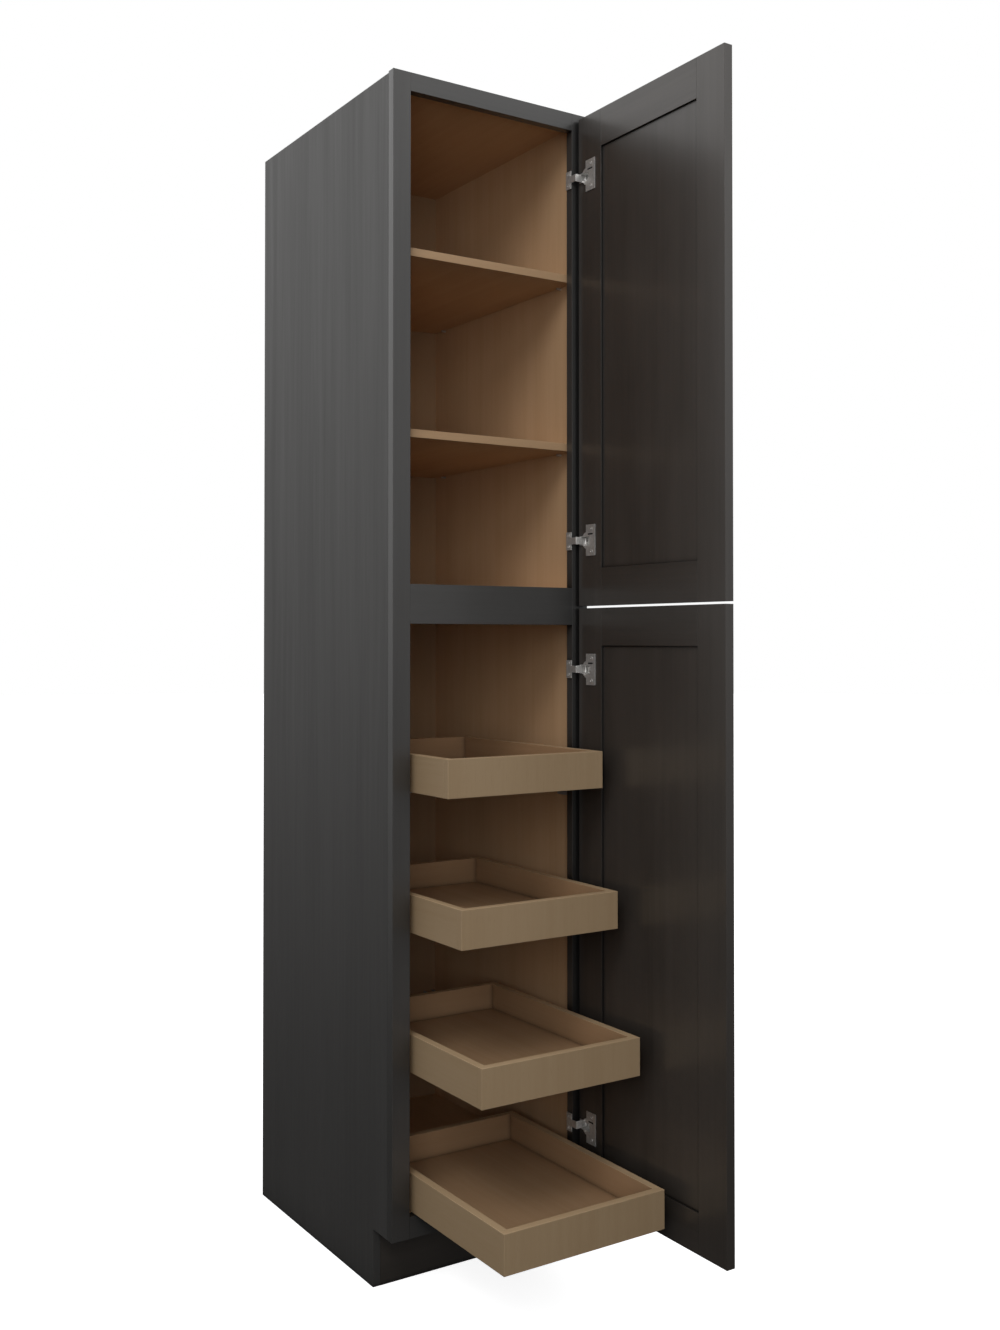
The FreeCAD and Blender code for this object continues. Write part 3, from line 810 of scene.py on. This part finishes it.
def model_screw(name, head_x, y, z):
    """A screw along +X whose head starts at head_x: rim and dome in front, shank and point behind."""
    bpy.ops.object.select_all(action="DESELECT")
    bpy.ops.mesh.primitive_cylinder_add(
        vertices=24,
        radius=HEAD_RADIUS,
        depth=0.5 * MM,
        location=(head_x + 0.55 * MM, y, z),
        rotation=(0, math.radians(-90), 0),
    )
    bpy.ops.object.transform_apply(location=True, rotation=True, scale=True)
    piece = bpy.context.object
    piece.name = name
    move_face(piece, looks(-1, 0, 0), [(inset * MM, (lift * MM, 0, 0)) for inset, lift in DOME])
    pick(piece, "FACE", lambda face: face.normal.x > 0.9 and face.center.x > head_x + 0.7 * MM)
    bpy.ops.mesh.inset(thickness=HEAD_RADIUS - SHANK_RADIUS)
    for length, narrow in SHANK:
        bpy.ops.mesh.extrude_region_move(TRANSFORM_OT_translate={"value": (length * MM, 0, 0)})
        bpy.ops.transform.resize(value=(1, narrow, narrow))
    bpy.ops.object.mode_set(mode="OBJECT")
    bpy.ops.object.shade_smooth_by_angle(angle=math.radians(35))
    return piece


def screw_set(name, node, body, places):
    """One modelled screw, copied to every place and joined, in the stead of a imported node."""
    first = model_screw(name, *places[0])
    twins = [copy_piece(first, f"{name}_copy", Vector(place) - Vector(places[0])) for place in places[1:]]
    bpy.ops.object.select_all(action="DESELECT")
    for piece in (*twins, first):
        piece.select_set(True)
    bpy.context.view_layer.objects.active = first
    bpy.ops.object.join()
    first.data.materials.append(nickel)
    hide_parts(node)
    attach(first, body)
    print(first.name, len(first.data.polygons), "faces")


print("screw head", 2000 * HEAD_RADIUS, "mm across")

# %% [markdown]
# Each cup has two screws in the door, one above and one below, and each arm has two in the face frame.
# They could be single pieces, but a screw never moves away from what it holds, so all that ride on one
# body become one.

# %% Screws in every hinge
PROUD = 0.8 * MM
FRAME_MIDDLE = CABINET_FRONT + 9.75 * MM
arm_screw_places = []
for door in ("upper", "lower"):
    cup_screw_places = []
    for end in ("top", "bottom"):
        height = HINGES[f"{door}_door_{end}"].z
        arm_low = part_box(f"{door}_door_{end}_hinge_arm")[0]
        for side in (-1, 1):
            cup_screw_places.append((CUP_FACE - PROUD, DOOR_EDGE - 44 * MM, height + side * 23 * MM))
            arm_screw_places.append((arm_low.x - PROUD, FRAME_MIDDLE, height + side * 11.5 * MM))
    screw_set(f"{door}_door_screws", f"{door}_door_hinge_screws", f"{door}_door", cup_screw_places)
screw_set("arm_screws", "hinge_mount_screws", "cabinet", arm_screw_places)

# %% [markdown]
# The slot, the button and the cap now go on all four hinges. They could share one mesh, but each copy
# gets its own, so that it can ride with its own door. The slot and the button turn with the door, the
# cap stays on the frame. The cap is plated whiter than the rest, and the slot is a dull dark grey, which
# is painted shade for the inside of the slot.

# %% Fittings on every hinge
cap_nickel = plated_steel("cap_nickel", (0.92, 0.91, 0.89), 0.4, (2000, 2000, 120), (160, 160, 160))
# A dull dark grey, painted shade for the inside of the spring slot.
painted_slot_shade = plated_steel("painted_slot_shade", (0.05, 0.05, 0.05), 0.6, (600, 600, 600), (90, 90, 90))
for piece, material in ((spring_slot, painted_slot_shade), (soft_button, nickel), (arm_cap, cap_nickel)):
    piece.data.materials.append(material)
for name, place in HINGES.items():
    door_body = f"{name.split('_')[0]}_door"
    for piece, body in ((spring_slot, door_body), (soft_button, door_body), (arm_cap, "cabinet")):
        if name == "upper_door_top":
            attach(piece, body)
        else:
            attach(copy_piece(piece, f"{piece.name}_{name}", place - FIRST), body)
print("fittings on", len(HINGES), "hinges")

# %% [markdown]
# The studio floor is a matt white sheet with a faint mottle. It could be lit like a real sheet, but it
# gives its own light, nearly as bright as the background, so the cabinet stands on it with only a soft
# shadow.

# %% Floor finish
floor_material, floor_tree, floor_shader = start_material("pale_floor")
mottle = stretched_noise(floor_tree, board_place(floor_tree), (3, 3, 3), 3)
floor_tone = tint(floor_tree, (0.90, 0.90, 0.90), (0.86, 0.86, 0.865), mottle, 0.5)
for socket in ("Base Color", "Emission Color"):
    floor_tree.links.new(floor_tone, floor_shader.inputs[socket])
floor_shader.inputs["Roughness"].default_value = 0.7
floor_shader.inputs["Emission Strength"].default_value = 0.97
floor.data.materials.append(floor_material)
print("floor finish", floor_material.name)
